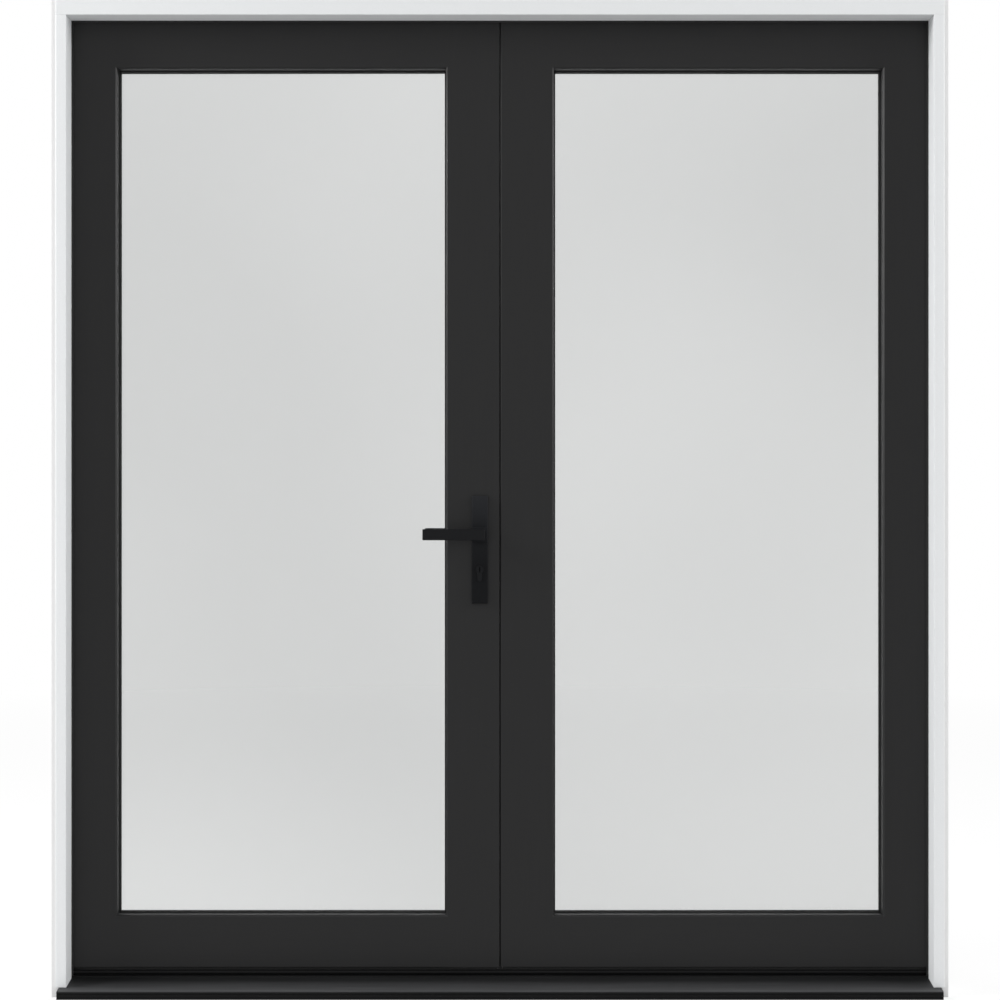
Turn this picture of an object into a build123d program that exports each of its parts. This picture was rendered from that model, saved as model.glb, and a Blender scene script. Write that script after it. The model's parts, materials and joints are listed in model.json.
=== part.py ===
from build123d import *
import os

# Double in-swing french doors in their frame, seen from outside along +Y.
# X runs to the right, Y into the room and Z up. The origin is on the underside
# of the sill, midway between the jambs and midway through the frame's depth.
# All sizes are in millimetres.

# Frame
FRAME_WIDTH = 1816.0
FRAME_HEIGHT = 2019.0
FRAME_DEPTH = 116.0
JAMB_THICKNESS = 16.6          # behind the rabbet
STOP_WIDTH = 12.7              # how far the stop covers the leaf's edge
CLADDING_THICKNESS = 1.6
JAMB_EDGE_WIDTH = 8.8          # bare jamb edge outside the cladding
FIXING_INSETS = (160.0, 660.0)    # from the frame's foot and from its top
FIXING_RADIUS = 2.6
KERF_WIDTH = 3.0
KERF_DEPTH = 8.0
STRIP_GAP = 4.0                # between the stop and the leaf, for the weatherstrip
STRIP_SHOW = 3.6               # how far the weatherstrip shows past the stop
SEAT = 0.3                     # clearance of a seated or sealing piece

# Leaves
LEAF_THICKNESS = 57.0
EDGE_GAP = 3.0
MEETING_GAP = 3.0
LEAF_BOTTOM = 48.0
HINGE_STILE = 102.5
LOCK_STILE = 109.5
RAIL_HEIGHT = 107.0
STICKING_DEPTH = 25.0          # from the leaf's outer face back to the glazing rebate
STICKING_BEVEL = 3.4
REBATE = 14.0
GASKET_THICKNESS = 2.0
GASKET_SHOW = 3.0
PANE_THICKNESS = 4.0
PANE_SPACE = 12.0
PANE_CLEARANCE = 3.0
SPACER_WIDTH = 7.0
SPACER_INSET = 4.0
BEAD_BEVEL = 4.0
BLOCK_LENGTH = 100.0
BLOCK_INSET = 140.0

# Sill and threshold
NOSING_REACH = 21.0
NOSING_TOP = 16.6              # height of the slope's front end
SLOPE_BACK = 27.4              # height of the slope at the leaf's outer face
NOSING_RADIUS = 3.4
SILL_SKIN = 3.0
SILL_END_INSET = 14.2
DRIP_GROOVE = 2.0
THRESHOLD_SEAT = 30.0          # height of the ledge that carries the cap
CAP_TOP = 41.0
CAP_NOSE_HEIGHT = 8.4
CAP_NOSE_SETBACK = 2.0
CAP_BASE_SETBACK = 8.0
SWEEP_BASE = 2.5
SWEEP_FIN = 2.0
SWEEP_FINS = 3

# Hinges
HINGE_FOOT_INSET = 300.0
HINGE_TOP_INSET = 229.0
HINGE_LENGTH = 102.0
HINGE_KNUCKLES = 3
KNUCKLE_RADIUS = 6.5
KNUCKLE_STANDOFF = 0.5
KNUCKLE_GAP = 0.3
PIN_RADIUS = 3.0
PIN_FIT = 0.05
PIN_HEAD_RADIUS = 5.0
PIN_HEAD_HEIGHT = 3.0
PLATE_THICKNESS = 3.0
PLATE_WIDTH = 38.0
HINGE_SCREW_ROWS = (-36.0, 0.0, 36.0)
HINGE_SCREW_STAGGER = 6.0
SCREW_RADIUS = 2.2
SCREW_HEAD_RADIUS = 4.2
SCREW_HEAD_DEPTH = 2.4
SCREW_LENGTH = 14.0
SCREW_SIDES = 10

# Lever set and lock
LEVER_HEIGHT = 936.5
BACKSET = 40.0
CYLINDER_DROP = 72.0
PLATE_ABOVE_LEVER = 78.5
PLATE_BELOW_LEVER = 141.5
HANDLE_PLATE_WIDTH = 33.0
HANDLE_PLATE_DEPTH = 8.0
HANDLE_PLATE_EDGE = 1.2
PLATE_SCREW_INSET = 17.5
PLATE_SCREW_RADIUS = 3.6
BOSS_HEIGHT = 28.0
BOSS_DEPTH = 9.0
NECK_RADIUS = 9.0
LEVER_STANDOFF = 52.0          # leaf face to the lever's outer face
LEVER_BAR_HEIGHT = 22.5
LEVER_BAR_DEPTH = 10.0
LEVER_REACH = 116.0
LEVER_HEEL = 10.5
LEVER_EDGE = 0.8
SPINDLE_SIDE = 8.0
SPINDLE_SOCKET = 14.0
RUNNING_FIT = 0.05
CASE_HEADROOM = 4.0            # above the latch
CASE_FOOT_ROOM = 21.5          # below the key cylinder
CASE_DEPTH = 64.0
CASE_THICKNESS = 18.0
CASE_WALL = 2.0
FACEPLATE_WIDTH = 24.0
FACEPLATE_THICKNESS = 3.0
HUB_RADIUS = 19.0
HUB_THICKNESS = 8.0
HUB_COLLAR_RADIUS = 8.0
CYLINDER_RADIUS = 8.5
CYLINDER_LEG_WIDTH = 10.0
CYLINDER_HEIGHT = 33.0
CYLINDER_PROUD = 2.0
CAM_WIDTH = 9.0
CAM_REACH = 13.0
PLUG_RADIUS = 6.5
THUMB_LENGTH = 16.0
THUMB_RADIUS = 13.0
THUMB_THICKNESS = 6.0
LATCH_HEIGHT = 26.0
LATCH_THICKNESS = 12.0
LATCH_LENGTH = 30.0
LATCH_THROW = 12.0
LATCH_ABOVE_LEVER = 36.0
DEADBOLT_HEIGHT = 32.0
DEADBOLT_THICKNESS = 12.0
DEADBOLT_LENGTH = 22.0
DEADBOLT_THROW = 20.0
BOLT_CLEARANCE = 0.3

# Shoot bolts of the active leaf and flush bolts of the other
ROD_SIDE = 8.0
ROD_EDGE = 6.0                 # from the leaf's edge to the rod's near side
BOLT_THROW = 15.0
BOLT_SETBACK = 1.0
BOLT_HOLE = 1.0                # clearance round a bolt in its keep
FLUSH_BOLT_LENGTH = 250.0
FLUSH_PLATE_LENGTH = 290.0
FLUSH_KNOB_WIDTH = 4.0
FLUSH_KNOB_LENGTH = 18.0
KEEP_THICKNESS = 2.0
KEEP_LENGTH = 42.0              # from the meeting line outwards
KEEP_WIDTH = 30.0
STRIKE_THICKNESS = 2.0
STRIKE_MARGIN = 15.0           # beyond the latch and the deadbolt
SEAL_WIDTH = 5.0
SEAL_LIP = 1.2
SEAL_DEPTH = 4.0
SEAL_SETBACK = 7.0

# Places worked out from the sizes above
X_OUT = FRAME_WIDTH / 2
X_JAMB = X_OUT - JAMB_THICKNESS
X_STOP = X_JAMB - STOP_WIDTH
X_BAND = X_OUT - JAMB_EDGE_WIDTH
Y_OUT = -FRAME_DEPTH / 2
Y_ROOM = FRAME_DEPTH / 2
Y_LEAF = Y_ROOM - LEAF_THICKNESS
Y_STOP = Y_LEAF - STRIP_GAP
Z_HEAD = FRAME_HEIGHT - JAMB_THICKNESS
Z_SOFFIT = Z_HEAD - STOP_WIDTH
X_HINGE = X_JAMB - EDGE_GAP    # the leaf's hinge edge
X_MEET = MEETING_GAP / 2       # the leaf's meeting edge
Z_TOP = Z_HEAD - EDGE_GAP
X_OPEN_HINGE = X_HINGE - HINGE_STILE
X_OPEN_LOCK = X_MEET + LOCK_STILE
Z_OPEN_TOP = Z_TOP - RAIL_HEIGHT
Z_OPEN_BOTTOM = LEAF_BOTTOM + RAIL_HEIGHT
Y_REBATE = Y_LEAF + STICKING_DEPTH
Y_PANE = Y_REBATE + GASKET_THICKNESS
Y_BEAD = Y_PANE + 2 * PANE_THICKNESS + PANE_SPACE + SEAT
SLOPE = (SLOPE_BACK - NOSING_TOP) / (Y_LEAF - Y_OUT + NOSING_REACH)
X_PIN = (X_JAMB + X_HINGE) / 2
Y_PIN = Y_ROOM + KNUCKLE_STANDOFF + KNUCKLE_RADIUS
X_LEVER = X_MEET + BACKSET
Y_LOCK = (Y_LEAF + Y_ROOM) / 2
Z_CYLINDER = LEVER_HEIGHT - CYLINDER_DROP
Z_LATCH = LEVER_HEIGHT + LATCH_ABOVE_LEVER
Z_CASE = Z_CYLINDER + CYLINDER_RADIUS - CYLINDER_HEIGHT - CASE_FOOT_ROOM
Z_CASE_TOP = Z_LATCH + LATCH_HEIGHT / 2 + CASE_HEADROOM
PLATE_TOP = LEVER_HEIGHT + PLATE_ABOVE_LEVER
PLATE_BOTTOM = LEVER_HEIGHT - PLATE_BELOW_LEVER
HINGE_MIDDLE = (HINGE_FOOT_INSET + FRAME_HEIGHT - HINGE_TOP_INSET) / 2
HINGE_HEIGHTS = (HINGE_FOOT_INSET, HINGE_MIDDLE, FRAME_HEIGHT - HINGE_TOP_INSET)
FIXING_HEIGHTS = FIXING_INSETS + tuple(FRAME_HEIGHT - inset for inset in FIXING_INSETS)
STRIKE_SPAN = (Z_CYLINDER - DEADBOLT_HEIGHT / 2 - STRIKE_MARGIN, Z_LATCH + LATCH_HEIGHT / 2 + STRIKE_MARGIN)
X_ROD = X_MEET + ROD_EDGE + ROD_SIDE / 2


def block(x, y, z):
    """A box between pairs of limits along each axis."""
    size = [high - low for low, high in (x, y, z)]
    centre = [(high + low) / 2 for low, high in (x, y, z)]
    return Pos(*centre) * Box(*size)


def upright(points, bottom, top):
    """A closed outline in X and Y, raised from bottom to top."""
    face = make_face(Polyline(*points, close=True))
    return Pos(0, 0, bottom) * extrude(face, top - bottom)


def crosswise(points, left, right):
    """A closed outline in Y and Z, run along X."""
    plane = Plane((left, 0, 0), x_dir=(0, 1, 0), z_dir=(1, 0, 0))
    face = plane * make_face(Polyline(*points, close=True))
    return extrude(face, right - left)


def rod(centre, radius, length, axis):
    """A round bar centred at a point, along X, Y or Z."""
    turn = {"X": Rot(0, 90, 0), "Y": Rot(90, 0, 0), "Z": Rot(0, 0, 0)}[axis]
    return Pos(*centre) * turn * Cylinder(radius, length)


def opposite(shape):
    """The same shape on the other side of the meeting line."""
    return mirror(shape, about=Plane.YZ)


def sill_height(y):
    """Height of the sloped sill at a depth."""
    return NOSING_TOP + SLOPE * (y - Y_OUT + NOSING_REACH)


# Frame

def jamb():
    """The left jamb: a plain full-height board, let in for the hinges."""
    body = block((-X_OUT, -X_JAMB), (Y_OUT + CLADDING_THICKNESS, Y_ROOM), (0, FRAME_HEIGHT))
    for height in HINGE_HEIGHTS:
        body -= plate_blank(height, -X_JAMB - PLATE_THICKNESS, -X_JAMB)
    body -= Compound(hinge_screws(-1, clearance=PIN_FIT))
    return body - [rod((-X_OUT, Y_LOCK, z), FIXING_RADIUS, 3 * JAMB_THICKNESS, "X") for z in FIXING_HEIGHTS]


def side_stop():
    """The left stop, planted on its jamb, with the kerf for the weatherstrip."""
    x_wood = X_STOP + CLADDING_THICKNESS
    x_kerf = (X_STOP + X_JAMB) / 2
    body = block((-X_JAMB, -x_wood), (Y_OUT + CLADDING_THICKNESS, Y_STOP), (0, Z_HEAD))
    return body - block((-x_kerf - KERF_WIDTH / 2, -x_kerf + KERF_WIDTH / 2),
                        (Y_STOP - KERF_DEPTH, Y_STOP), (SLOPE_BACK, Z_HEAD))


def head_jamb():
    """The head: a board between the jambs, cut for the bolts and their keeps."""
    body = block((-X_JAMB, X_JAMB), (Y_OUT + CLADDING_THICKNESS, Y_ROOM), (Z_HEAD, FRAME_HEIGHT))
    body -= keep_space(Z_HEAD)
    reach = Z_HEAD + BOLT_THROW - EDGE_GAP + BOLT_HOLE
    return body - [bolt_shaft(x, Z_HEAD - 1, reach) for x in (-X_ROD, X_ROD)]


def head_stop():
    """The stop across the head, between the side stops, with its own kerf."""
    x_wood = X_STOP + CLADDING_THICKNESS
    z_kerf = (Z_SOFFIT + Z_HEAD) / 2
    body = block((-x_wood, x_wood), (Y_OUT + CLADDING_THICKNESS, Y_STOP),
                 (Z_SOFFIT + CLADDING_THICKNESS, Z_HEAD))
    return body - block((-x_wood, x_wood), (Y_STOP - KERF_DEPTH, Y_STOP),
                        (z_kerf - KERF_WIDTH / 2, z_kerf + KERF_WIDTH / 2))


def keep_space(z_low):
    """The recess that both keep plates of one end lie in."""
    half = KEEP_WIDTH / 2
    return block((-KEEP_LENGTH, KEEP_LENGTH), (Y_LOCK - half, Y_LOCK + half),
                 (z_low, z_low + KEEP_THICKNESS))


def bolt_keeps():
    """Plates with a square hole for each bolt, in the head and in the threshold."""
    keeps = []
    for z_low in (Z_HEAD, CAP_TOP - KEEP_THICKNESS):
        right = keep_space(z_low) & block((SEAT / 2, FRAME_WIDTH), (Y_OUT, Y_ROOM), (0, FRAME_HEIGHT))
        right -= bolt_shaft(X_ROD, z_low - 1, z_low + KEEP_THICKNESS + 1)
        keeps += [right, opposite(right)]
    return keeps


def bolt_shaft(x, low, high):
    """The upright hole that a bolt enters."""
    half = ROD_SIDE / 2 + BOLT_HOLE
    return block((x - half, x + half), (Y_LOCK - half, Y_LOCK + half), (low, high))


def threshold_shafts():
    """Both bolt holes, down from the cap into the sill."""
    low = CAP_TOP - BOLT_THROW - BOLT_HOLE
    return [bolt_shaft(x, low, CAP_TOP + 1) for x in (-X_ROD, X_ROD)]


def side_cladding():
    """The left cover: face, return and the hook behind the stop."""
    y_back = Y_STOP - SEAT
    x_wood = X_STOP + CLADDING_THICKNESS
    outline = [(-X_BAND, Y_OUT), (-X_STOP, Y_OUT), (-X_STOP, y_back), (-x_wood, y_back),
               (-x_wood, Y_OUT + CLADDING_THICKNESS), (-X_BAND, Y_OUT + CLADDING_THICKNESS)]
    foot = sill_height(Y_OUT + CLADDING_THICKNESS) + SEAT
    return upright(outline, foot, Z_SOFFIT)


def head_cladding():
    y_back = Y_STOP - SEAT
    z_wood = Z_SOFFIT + CLADDING_THICKNESS
    y_wood = Y_OUT + CLADDING_THICKNESS
    face = block((-X_BAND, X_BAND), (Y_OUT, y_wood), (Z_SOFFIT, FRAME_HEIGHT))
    x_wood = X_STOP + CLADDING_THICKNESS
    soffit = block((-x_wood, x_wood), (Y_OUT, y_back), (Z_SOFFIT, z_wood))
    return face + soffit


def side_strip():
    """The left weatherstrip: a barb in the kerf and a bulb against the leaf."""
    x_kerf = (X_STOP + X_JAMB) / 2
    bulb = block((-x_kerf - KERF_WIDTH / 2, -X_STOP + STRIP_SHOW), (Y_STOP, Y_LEAF - SEAT),
                 (THRESHOLD_SEAT + SEAT, Z_SOFFIT - STRIP_SHOW))
    bulb = fillet(bulb.edges().filter_by(Axis.Z).sort_by(Axis.X)[-2:], (STRIP_GAP - SEAT) / 2.2)
    barb = block((-x_kerf - KERF_WIDTH / 2, -x_kerf + KERF_WIDTH / 2),
                 (Y_STOP - KERF_DEPTH + SEAT, Y_STOP), (THRESHOLD_SEAT + SEAT, Z_SOFFIT - STRIP_SHOW))
    return bulb + barb


def head_strip():
    z_kerf = (Z_SOFFIT + Z_HEAD) / 2
    x_end = X_STOP + CLADDING_THICKNESS
    bulb = block((-x_end, x_end), (Y_STOP, Y_LEAF - SEAT),
                 (Z_SOFFIT - STRIP_SHOW, z_kerf + KERF_WIDTH / 2))
    bulb = fillet(bulb.edges().filter_by(Axis.X).sort_by(Axis.Z)[:2], (STRIP_GAP - SEAT) / 2.2)
    barb = block((-x_end, x_end), (Y_STOP - KERF_DEPTH + SEAT, Y_STOP),
                 (z_kerf - KERF_WIDTH / 2, z_kerf + KERF_WIDTH / 2))
    return bulb + barb


# Sill

def sill():
    """The sloped sill extrusion, with its nosing, drip grooves and cap ledge."""
    y_nose = Y_OUT - NOSING_REACH
    y_leg = Y_OUT + CLADDING_THICKNESS
    top = [(y_nose, NOSING_TOP), (Y_LEAF, SLOPE_BACK), (Y_LEAF, THRESHOLD_SEAT), (Y_ROOM, THRESHOLD_SEAT)]
    under = [(Y_ROOM, THRESHOLD_SEAT - SILL_SKIN), (Y_LEAF + SILL_SKIN, THRESHOLD_SEAT - SILL_SKIN),
             (Y_LEAF + SILL_SKIN, SLOPE_BACK - SILL_SKIN), (y_leg, sill_height(y_leg) - SILL_SKIN),
             (y_leg, 0), (y_leg - SILL_SKIN, 0), (y_leg - SILL_SKIN, sill_height(y_leg) - 1.2 * SILL_SKIN),
             (y_nose + SILL_SKIN, NOSING_TOP - SILL_SKIN), (y_nose + SILL_SKIN, 0), (y_nose, 0)]
    x_end = X_OUT - SILL_END_INSET
    body = crosswise(top + under, -x_end, x_end)
    nose = body.edges().filter_by(Axis.X).filter_by_position(Axis.Y, y_nose - 0.1, y_nose + 0.1)
    body = fillet(nose.sort_by(Axis.Z)[-1:], NOSING_RADIUS)
    for low in (NOSING_TOP - NOSING_RADIUS - DRIP_GROOVE * 1.6, DRIP_GROOVE * 1.5):
        body -= block((-x_end, x_end), (y_nose, y_nose + DRIP_GROOVE / 2), (low, low + DRIP_GROOVE))
    x_stop = X_STOP - SEAT
    x_wood = X_JAMB - SEAT
    beside_stop = block((-x_end, -x_stop), (y_leg, Y_STOP + SEAT), (0, THRESHOLD_SEAT))
    beside_jamb = block((-x_end, -x_wood), (Y_STOP, Y_ROOM), (0, THRESHOLD_SEAT))
    body -= [beside_stop, beside_jamb, opposite(beside_stop), opposite(beside_jamb)]
    return body - threshold_shafts()


def sill_core():
    """The solid sub-sill that carries the extrusion."""
    y_leg = Y_OUT + CLADDING_THICKNESS
    back = THRESHOLD_SEAT - SILL_SKIN
    outline = [(y_leg, 0), (Y_ROOM, 0), (Y_ROOM, back), (Y_LEAF + SILL_SKIN, back),
               (Y_LEAF + SILL_SKIN, SLOPE_BACK - SILL_SKIN), (y_leg, sill_height(y_leg) - SILL_SKIN)]
    x_end = X_STOP - SEAT
    return crosswise(outline, -x_end, x_end) - threshold_shafts()


def threshold_cap():
    """The cap under the leaves, with a rounded nose over a shadow gap."""
    y_nose = Y_LEAF + CAP_NOSE_SETBACK
    y_base = Y_LEAF + CAP_BASE_SETBACK
    z_nose = CAP_TOP - CAP_NOSE_HEIGHT
    outline = [(y_base, THRESHOLD_SEAT), (Y_ROOM, THRESHOLD_SEAT), (Y_ROOM, CAP_TOP - CAP_NOSE_HEIGHT / 2),
               (Y_ROOM - CAP_BASE_SETBACK, CAP_TOP), (y_nose, CAP_TOP), (y_nose, z_nose), (y_base, z_nose)]
    x_end = X_JAMB - SEAT
    body = crosswise(outline, -x_end, x_end)
    nose = body.edges().filter_by(Axis.X).filter_by_position(Axis.Y, y_nose - 0.1, y_nose + 0.1)
    body = fillet(nose, CAP_NOSE_HEIGHT / 2.4)
    return body - keep_space(CAP_TOP - KEEP_THICKNESS) - threshold_shafts()


# Hinges

def plate_blank(height, x_low, x_high):
    """A hinge plate's own rectangle, let into a jamb or a stile."""
    return block((x_low, x_high), (Y_ROOM - PLATE_WIDTH, Y_ROOM),
                 (height - HINGE_LENGTH / 2, height + HINGE_LENGTH / 2))


def hinge_half(height, on_jamb):
    """One plate of a left hinge with its share of the knuckles."""
    if on_jamb:
        x_low, x_high = -X_JAMB - PLATE_THICKNESS, -X_JAMB
        side = -1
    else:
        x_low, x_high = -X_HINGE, -X_HINGE + PLATE_THICKNESS
        side = 1
    plate = plate_blank(height, x_low, x_high)
    pitch = HINGE_LENGTH / HINGE_KNUCKLES
    for index in range(HINGE_KNUCKLES):
        if (index % 2 == 0) != on_jamb:
            continue
        z_low = height - HINGE_LENGTH / 2 + index * pitch
        below = KNUCKLE_GAP / 2 if index > 0 else 0
        above = KNUCKLE_GAP / 2 if index < HINGE_KNUCKLES - 1 else 0
        z_mid = z_low + (pitch + below - above) / 2
        length = pitch - below - above
        barrel = rod((-X_PIN, Y_PIN, z_mid), KNUCKLE_RADIUS, length, "Z")
        tab = block((x_low, x_high), (Y_ROOM - 1, Y_PIN - PIN_RADIUS),
                    (z_mid - length / 2, z_mid + length / 2))
        plate += barrel + tab
    plate -= rod((-X_PIN, Y_PIN, height), PIN_RADIUS + PIN_FIT, HINGE_LENGTH + 1, "Z")
    plate -= Compound(screw_set(height, side))
    return plate


def screw_set(height, side, clearance=0.0):
    """The screws of one hinge plate, heads sunk in the plate."""
    face = -X_JAMB if side < 0 else -X_HINGE
    y_mid = Y_ROOM - PLATE_WIDTH / 2
    screws = []
    for index, row in enumerate(HINGE_SCREW_ROWS):
        stagger = HINGE_SCREW_STAGGER if index % 2 else -HINGE_SCREW_STAGGER
        place = (face, y_mid + stagger, height + row)
        screws.append(screw(place, side, clearance))
    return screws


def screw(place, side, clearance=0.0):
    """A countersunk screw with its head at a face, driven along X."""
    wide = RegularPolygon(SCREW_HEAD_RADIUS, SCREW_SIDES)
    narrow = Pos(0, 0, SCREW_HEAD_DEPTH) * RegularPolygon(SCREW_RADIUS, SCREW_SIDES)
    shank = extrude(RegularPolygon(SCREW_RADIUS + clearance, SCREW_SIDES), SCREW_LENGTH)
    return Pos(*place) * Rot(0, 90 * side, 0) * (loft([wide, narrow]) + shank)


def hinge_screws(side, clearance=0.0):
    return [item for height in HINGE_HEIGHTS for item in screw_set(height, side, clearance)]


def hinge_pin(height):
    body = rod((-X_PIN, Y_PIN, height), PIN_RADIUS, HINGE_LENGTH, "Z")
    z_head = height + HINGE_LENGTH / 2 + PIN_HEAD_HEIGHT / 2
    return body + rod((-X_PIN, Y_PIN, z_head), PIN_HEAD_RADIUS, PIN_HEAD_HEIGHT, "Z")


# Leaf frame and glazing, in the left leaf's place

def opening(grow, y):
    """The glazed opening, widened by grow, through a range of depth."""
    return block((-X_OPEN_HINGE - grow, -X_OPEN_LOCK + grow), y,
                 (Z_OPEN_BOTTOM - grow, Z_OPEN_TOP + grow))


def bevelled_opening(grow_start, grow_end, y):
    """An opening whose four sides slope between two sizes."""
    faces = []
    for grow, depth in ((grow_start, y[0]), (grow_end, y[1])):
        centre = ((-X_OPEN_HINGE - X_OPEN_LOCK) / 2, depth, (Z_OPEN_BOTTOM + Z_OPEN_TOP) / 2)
        plane = Plane(centre, x_dir=(1, 0, 0), z_dir=(0, 1, 0))
        faces.append(plane * Rectangle(X_OPEN_HINGE - X_OPEN_LOCK + 2 * grow,
                                       Z_OPEN_TOP - Z_OPEN_BOTTOM + 2 * grow))
    return loft(faces)


def leaf_ring():
    """The whole leaf frame before it is parted into stiles and rails."""
    body = block((-X_HINGE, -X_MEET), (Y_LEAF, Y_ROOM), (LEAF_BOTTOM, Z_TOP))
    body -= opening(0, (Y_LEAF - 1, Y_ROOM + 1))
    body -= opening(REBATE, (Y_REBATE, Y_ROOM + 1))
    return body - bevelled_opening(STICKING_BEVEL, 0, (Y_LEAF, Y_LEAF + STICKING_BEVEL))


def leaf_frame():
    """Stiles and rails: the stiles run through and the rails butt between them."""
    ring = leaf_ring()
    deep = (Y_LEAF - 1, Y_ROOM + 1)
    tall = (LEAF_BOTTOM - 1, Z_TOP + 1)
    between = (-X_OPEN_HINGE, -X_OPEN_LOCK)
    z_mid = (Z_OPEN_BOTTOM + Z_OPEN_TOP) / 2
    return {
        "hinge_stile": ring & block((-X_HINGE - 1, -X_OPEN_HINGE), deep, tall),
        "lock_stile": ring & block((-X_OPEN_LOCK, -X_MEET + 1), deep, tall),
        "top_rail": ring & block(between, deep, (z_mid, Z_TOP + 1)),
        "bottom_rail": ring & block(between, deep, (LEAF_BOTTOM - 1, z_mid)),
    }


def pane(y_front):
    return opening(REBATE - PANE_CLEARANCE, (y_front, y_front + PANE_THICKNESS))


def glass_spacer():
    y = (Y_PANE + PANE_THICKNESS, Y_PANE + PANE_THICKNESS + PANE_SPACE)
    outer = REBATE - PANE_CLEARANCE - SPACER_INSET
    return opening(outer, y) - opening(outer - SPACER_WIDTH, (y[0] - 1, y[1] + 1))


def glazing_gasket():
    y = (Y_REBATE, Y_PANE)
    return opening(REBATE - PANE_CLEARANCE, y) - opening(-GASKET_SHOW, (y[0] - 1, y[1] + 1))


def glazing_beads():
    """Four inside beads, the upright ones between the level ones."""
    ring = opening(REBATE, (Y_BEAD, Y_ROOM)) - opening(0, (Y_BEAD - 1, Y_ROOM + 1))
    ring -= bevelled_opening(0, BEAD_BEVEL, (Y_ROOM - BEAD_BEVEL, Y_ROOM))
    deep = (Y_BEAD - 1, Y_ROOM + 1)
    wide = (-X_OPEN_HINGE - REBATE - 1, -X_OPEN_LOCK + REBATE + 1)
    middle = (Z_OPEN_BOTTOM, Z_OPEN_TOP)
    x_mid = -(X_OPEN_HINGE + X_OPEN_LOCK) / 2
    return [
        ring & block(wide, deep, (Z_OPEN_TOP, Z_OPEN_TOP + REBATE + 1)),
        ring & block(wide, deep, (Z_OPEN_BOTTOM - REBATE - 1, Z_OPEN_BOTTOM)),
        ring & block((wide[0], x_mid), deep, middle),
        ring & block((x_mid, wide[1]), deep, middle),
    ]


def setting_blocks():
    """Two blocks that carry the glass in the bottom rebate."""
    z_floor = Z_OPEN_BOTTOM - REBATE
    places = (-X_OPEN_HINGE + BLOCK_INSET, -X_OPEN_LOCK - BLOCK_INSET)
    return [block((x - BLOCK_LENGTH / 2, x + BLOCK_LENGTH / 2), (Y_PANE, Y_BEAD - SEAT),
                  (z_floor, z_floor + PANE_CLEARANCE)) for x in places]


def door_sweep():
    """The finned strip under the leaf, cut away round the bolt."""
    y_low, y_high = Y_LEAF + CAP_BASE_SETBACK, Y_ROOM - CAP_BASE_SETBACK
    x = (-X_HINGE + EDGE_GAP, -X_MEET - EDGE_GAP)
    body = block(x, (y_low, y_high), (LEAF_BOTTOM - SWEEP_BASE, LEAF_BOTTOM))
    pitch = (y_high - y_low - SWEEP_FIN) / (SWEEP_FINS - 1)
    for index in range(SWEEP_FINS):
        y_fin = y_low + index * pitch
        body += block(x, (y_fin, y_fin + SWEEP_FIN), (CAP_TOP + SEAT, LEAF_BOTTOM - SWEEP_BASE))
    return body - bolt_channel(-X_ROD, LEAF_BOTTOM - SWEEP_BASE * 4, LEAF_BOTTOM)


def bolt_channel(x, low, high):
    """Room for a bolt rod, open to the leaf's meeting edge."""
    side = ROD_SIDE / 2 + BOLT_CLEARANCE
    edge = -X_MEET + 1 if x < 0 else X_MEET - 1
    span = sorted((x - side if x < 0 else x + side, edge))
    return block(span, (Y_LOCK - side, Y_LOCK + side), (low, high))


# Lock, in the left leaf

def case_box(grow=0.0):
    return block((-X_MEET - CASE_DEPTH - grow, -X_MEET - FACEPLATE_THICKNESS),
                 (Y_LOCK - CASE_THICKNESS / 2 - grow, Y_LOCK + CASE_THICKNESS / 2 + grow),
                 (Z_CASE - grow, Z_CASE_TOP + grow))


def case_openings():
    """Everything that passes through the walls of the lock case."""
    cuts = [rod((-X_LEVER, Y_LOCK, LEVER_HEIGHT), HUB_COLLAR_RADIUS + RUNNING_FIT, 2 * CASE_THICKNESS, "Y")]
    cuts.append(cylinder_outline(2 * CASE_THICKNESS, BOLT_CLEARANCE))
    cuts.append(bolt_blank(Z_CYLINDER, DEADBOLT_HEIGHT, DEADBOLT_THICKNESS, CASE_DEPTH / 2))
    cuts.append(bolt_blank(Z_LATCH, LATCH_HEIGHT, LATCH_THICKNESS, CASE_DEPTH / 2))
    side = ROD_SIDE / 2 + BOLT_CLEARANCE
    cuts.append(block((-X_ROD - side, -X_ROD + side), (Y_LOCK - side, Y_LOCK + side),
                      (Z_CASE - 1, Z_CASE_TOP + 1)))
    return cuts


def bolt_blank(z, height, thickness, depth):
    """Clearance round a level bolt, from the leaf's edge inwards."""
    half_height = height / 2 + BOLT_CLEARANCE
    half_thickness = thickness / 2 + BOLT_CLEARANCE
    return block((-X_MEET - depth, -X_MEET + 1), (Y_LOCK - half_thickness, Y_LOCK + half_thickness),
                 (z - half_height, z + half_height))


def lock_case():
    inner = block((-X_MEET - CASE_DEPTH + CASE_WALL, -X_MEET - FACEPLATE_THICKNESS - CASE_WALL),
                  (Y_LOCK - CASE_THICKNESS / 2 + CASE_WALL, Y_LOCK + CASE_THICKNESS / 2 - CASE_WALL),
                  (Z_CASE + CASE_WALL, Z_CASE_TOP - CASE_WALL))
    return case_box() - inner - case_openings()


def lock_faceplate():
    """The full-length edge plate, pierced for the bolts and the screws."""
    half = FACEPLATE_WIDTH / 2
    body = block((-X_MEET - FACEPLATE_THICKNESS, -X_MEET), (Y_LOCK - half, Y_LOCK + half),
                 (LEAF_BOTTOM, Z_TOP))
    body -= bolt_blank(Z_CYLINDER, DEADBOLT_HEIGHT, DEADBOLT_THICKNESS, CASE_DEPTH)
    body -= bolt_blank(Z_LATCH, LATCH_HEIGHT, LATCH_THICKNESS, CASE_DEPTH)
    return body - Compound(faceplate_screws())


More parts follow.
